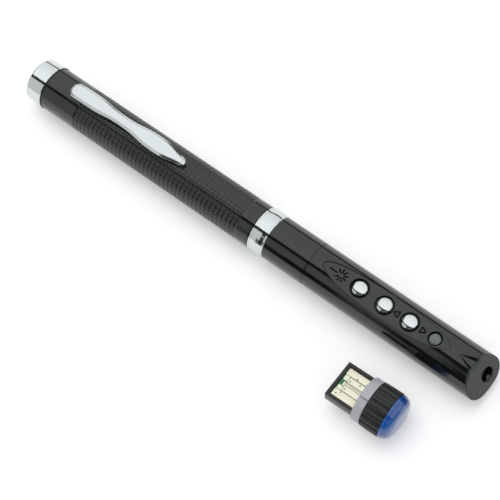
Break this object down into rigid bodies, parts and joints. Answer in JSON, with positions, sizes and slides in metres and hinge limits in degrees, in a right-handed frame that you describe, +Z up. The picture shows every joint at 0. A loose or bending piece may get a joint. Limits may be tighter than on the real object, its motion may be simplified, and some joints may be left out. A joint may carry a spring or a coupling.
{
  "type": "wireless presenter",
  "caption": "Pen-shaped wireless presenter with laser pointer, pocket clip, domed push buttons and a slanted nose, with its stubby plug-in USB receiver lying beside it.",
  "frame": {"origin": "on the table, midway along the pen and midway across the pair of pen and receiver", "axes": "+X along the pen from its tail to its laser, +Z up, +Y towards the pen and away from the receiver"},
  "size_m": [0.1556, 0.0353, 0.016],
  "materials": {
    "chrome": "mirror-polished chrome plate",
    "black_lacquer": "high-gloss black lacquer",
    "black_grid_lacquer": "gloss black lacquer over a fine embossed grid",
    "matt_grey_plastic": "matt dark grey moulded plastic",
    "black_rubber": "matt black rubber",
    "black_nylon": "matt black moulded nylon",
    "steel": "plain bright steel",
    "brass": "turned brass",
    "battery_wrap": "plain dark grey metallic sleeve",
    "green_laminate": "green circuit board laminate",
    "pale_lamp_lens": "pale grey diffusing lens",
    "lens_glass": "clear red-tinted lens",
    "gold_pads": "gold-plated contact pads",
    "pale_grey_plastic": "satin pale grey plastic",
    "blue_clear_plastic": "see-through blue plastic"
  },
  "bodies": {
    "front_half": {"battery_tube": "black_nylon", "neck_oring": "black_rubber", "battery_rear": "battery_wrap", "battery_front": "battery_wrap", "tail_spring": "steel", "front_contact": "brass", "centre_ring": "chrome", "lower_sleeve": "black_lacquer", "keypad_shell": "black_lacquer", "nose_plate": "matt_grey_plastic", "switch_body_laser": "black_nylon", "switch_body_back": "black_nylon", "switch_body_forward": "black_nylon", "status_lamp": "pale_lamp_lens", "main_board": "green_laminate", "radio_chip": "black_nylon", "crystal": "steel", "board_tray": "black_nylon", "laser_holder": "black_nylon", "laser_housing": "brass", "laser_lens": "lens_glass", "laser_diode": "steel"},
    "rear_barrel": {"tail_cap": "chrome", "tail_gasket": "black_rubber", "upper_barrel": "black_grid_lacquer", "clip_saddle": "steel", "clip_pin": "steel"},
    "clip": {"clip": "chrome"},
    "laser_button": {"button_cap_laser": "chrome", "button_base_laser": "black_nylon", "switch_plunger_laser": "steel"},
    "back_button": {"button_cap_back": "chrome", "button_base_back": "black_nylon", "switch_plunger_back": "steel"},
    "forward_button": {"button_cap_forward": "chrome", "button_base_forward": "black_nylon", "switch_plunger_forward": "steel"},
    "receiver": {"usb_frame": "black_nylon", "usb_board": "green_laminate", "usb_pad_power": "gold_pads", "usb_pad_data_minus": "gold_pads", "usb_pad_data_plus": "gold_pads", "usb_pad_ground": "gold_pads", "usb_collar": "pale_grey_plastic", "usb_grip": "black_rubber", "usb_lens_cap": "blue_clear_plastic", "usb_chip": "black_nylon", "usb_lamp": "pale_lamp_lens"}
  },
  "joints": [
    {"name": "barrel_pull", "type": "slide", "parent": "front_half", "child": "rear_barrel", "axis": [-1, 0, 0], "range_m": [0, 0.075]},
    {"name": "clip_hinge", "type": "hinge", "parent": "rear_barrel", "child": "clip", "pos_m": [-0.06075, 0.01173, 0.01416], "axis": [0, -0.9945, 0.1045], "range_deg": [0, 6], "stiffness_Nm_per_rad": 1, "springref_deg": -1.15},
    {"name": "laser_press", "type": "slide", "parent": "front_half", "child": "laser_button", "axis": [0, 0, -1], "range_m": [0, 0.0003], "stiffness_N_per_m": 1500},
    {"name": "back_press", "type": "slide", "parent": "front_half", "child": "back_button", "axis": [0, 0, -1], "range_m": [0, 0.0003], "stiffness_N_per_m": 1500},
    {"name": "forward_press", "type": "slide", "parent": "front_half", "child": "forward_button", "axis": [0, 0, -1], "range_m": [0, 0.0003], "stiffness_N_per_m": 1500},
    {"name": "receiver_lift", "type": "slide", "parent": "front_half", "child": "receiver", "axis": [0, 0, 1], "range_m": [0, 0.05]}
  ]
}
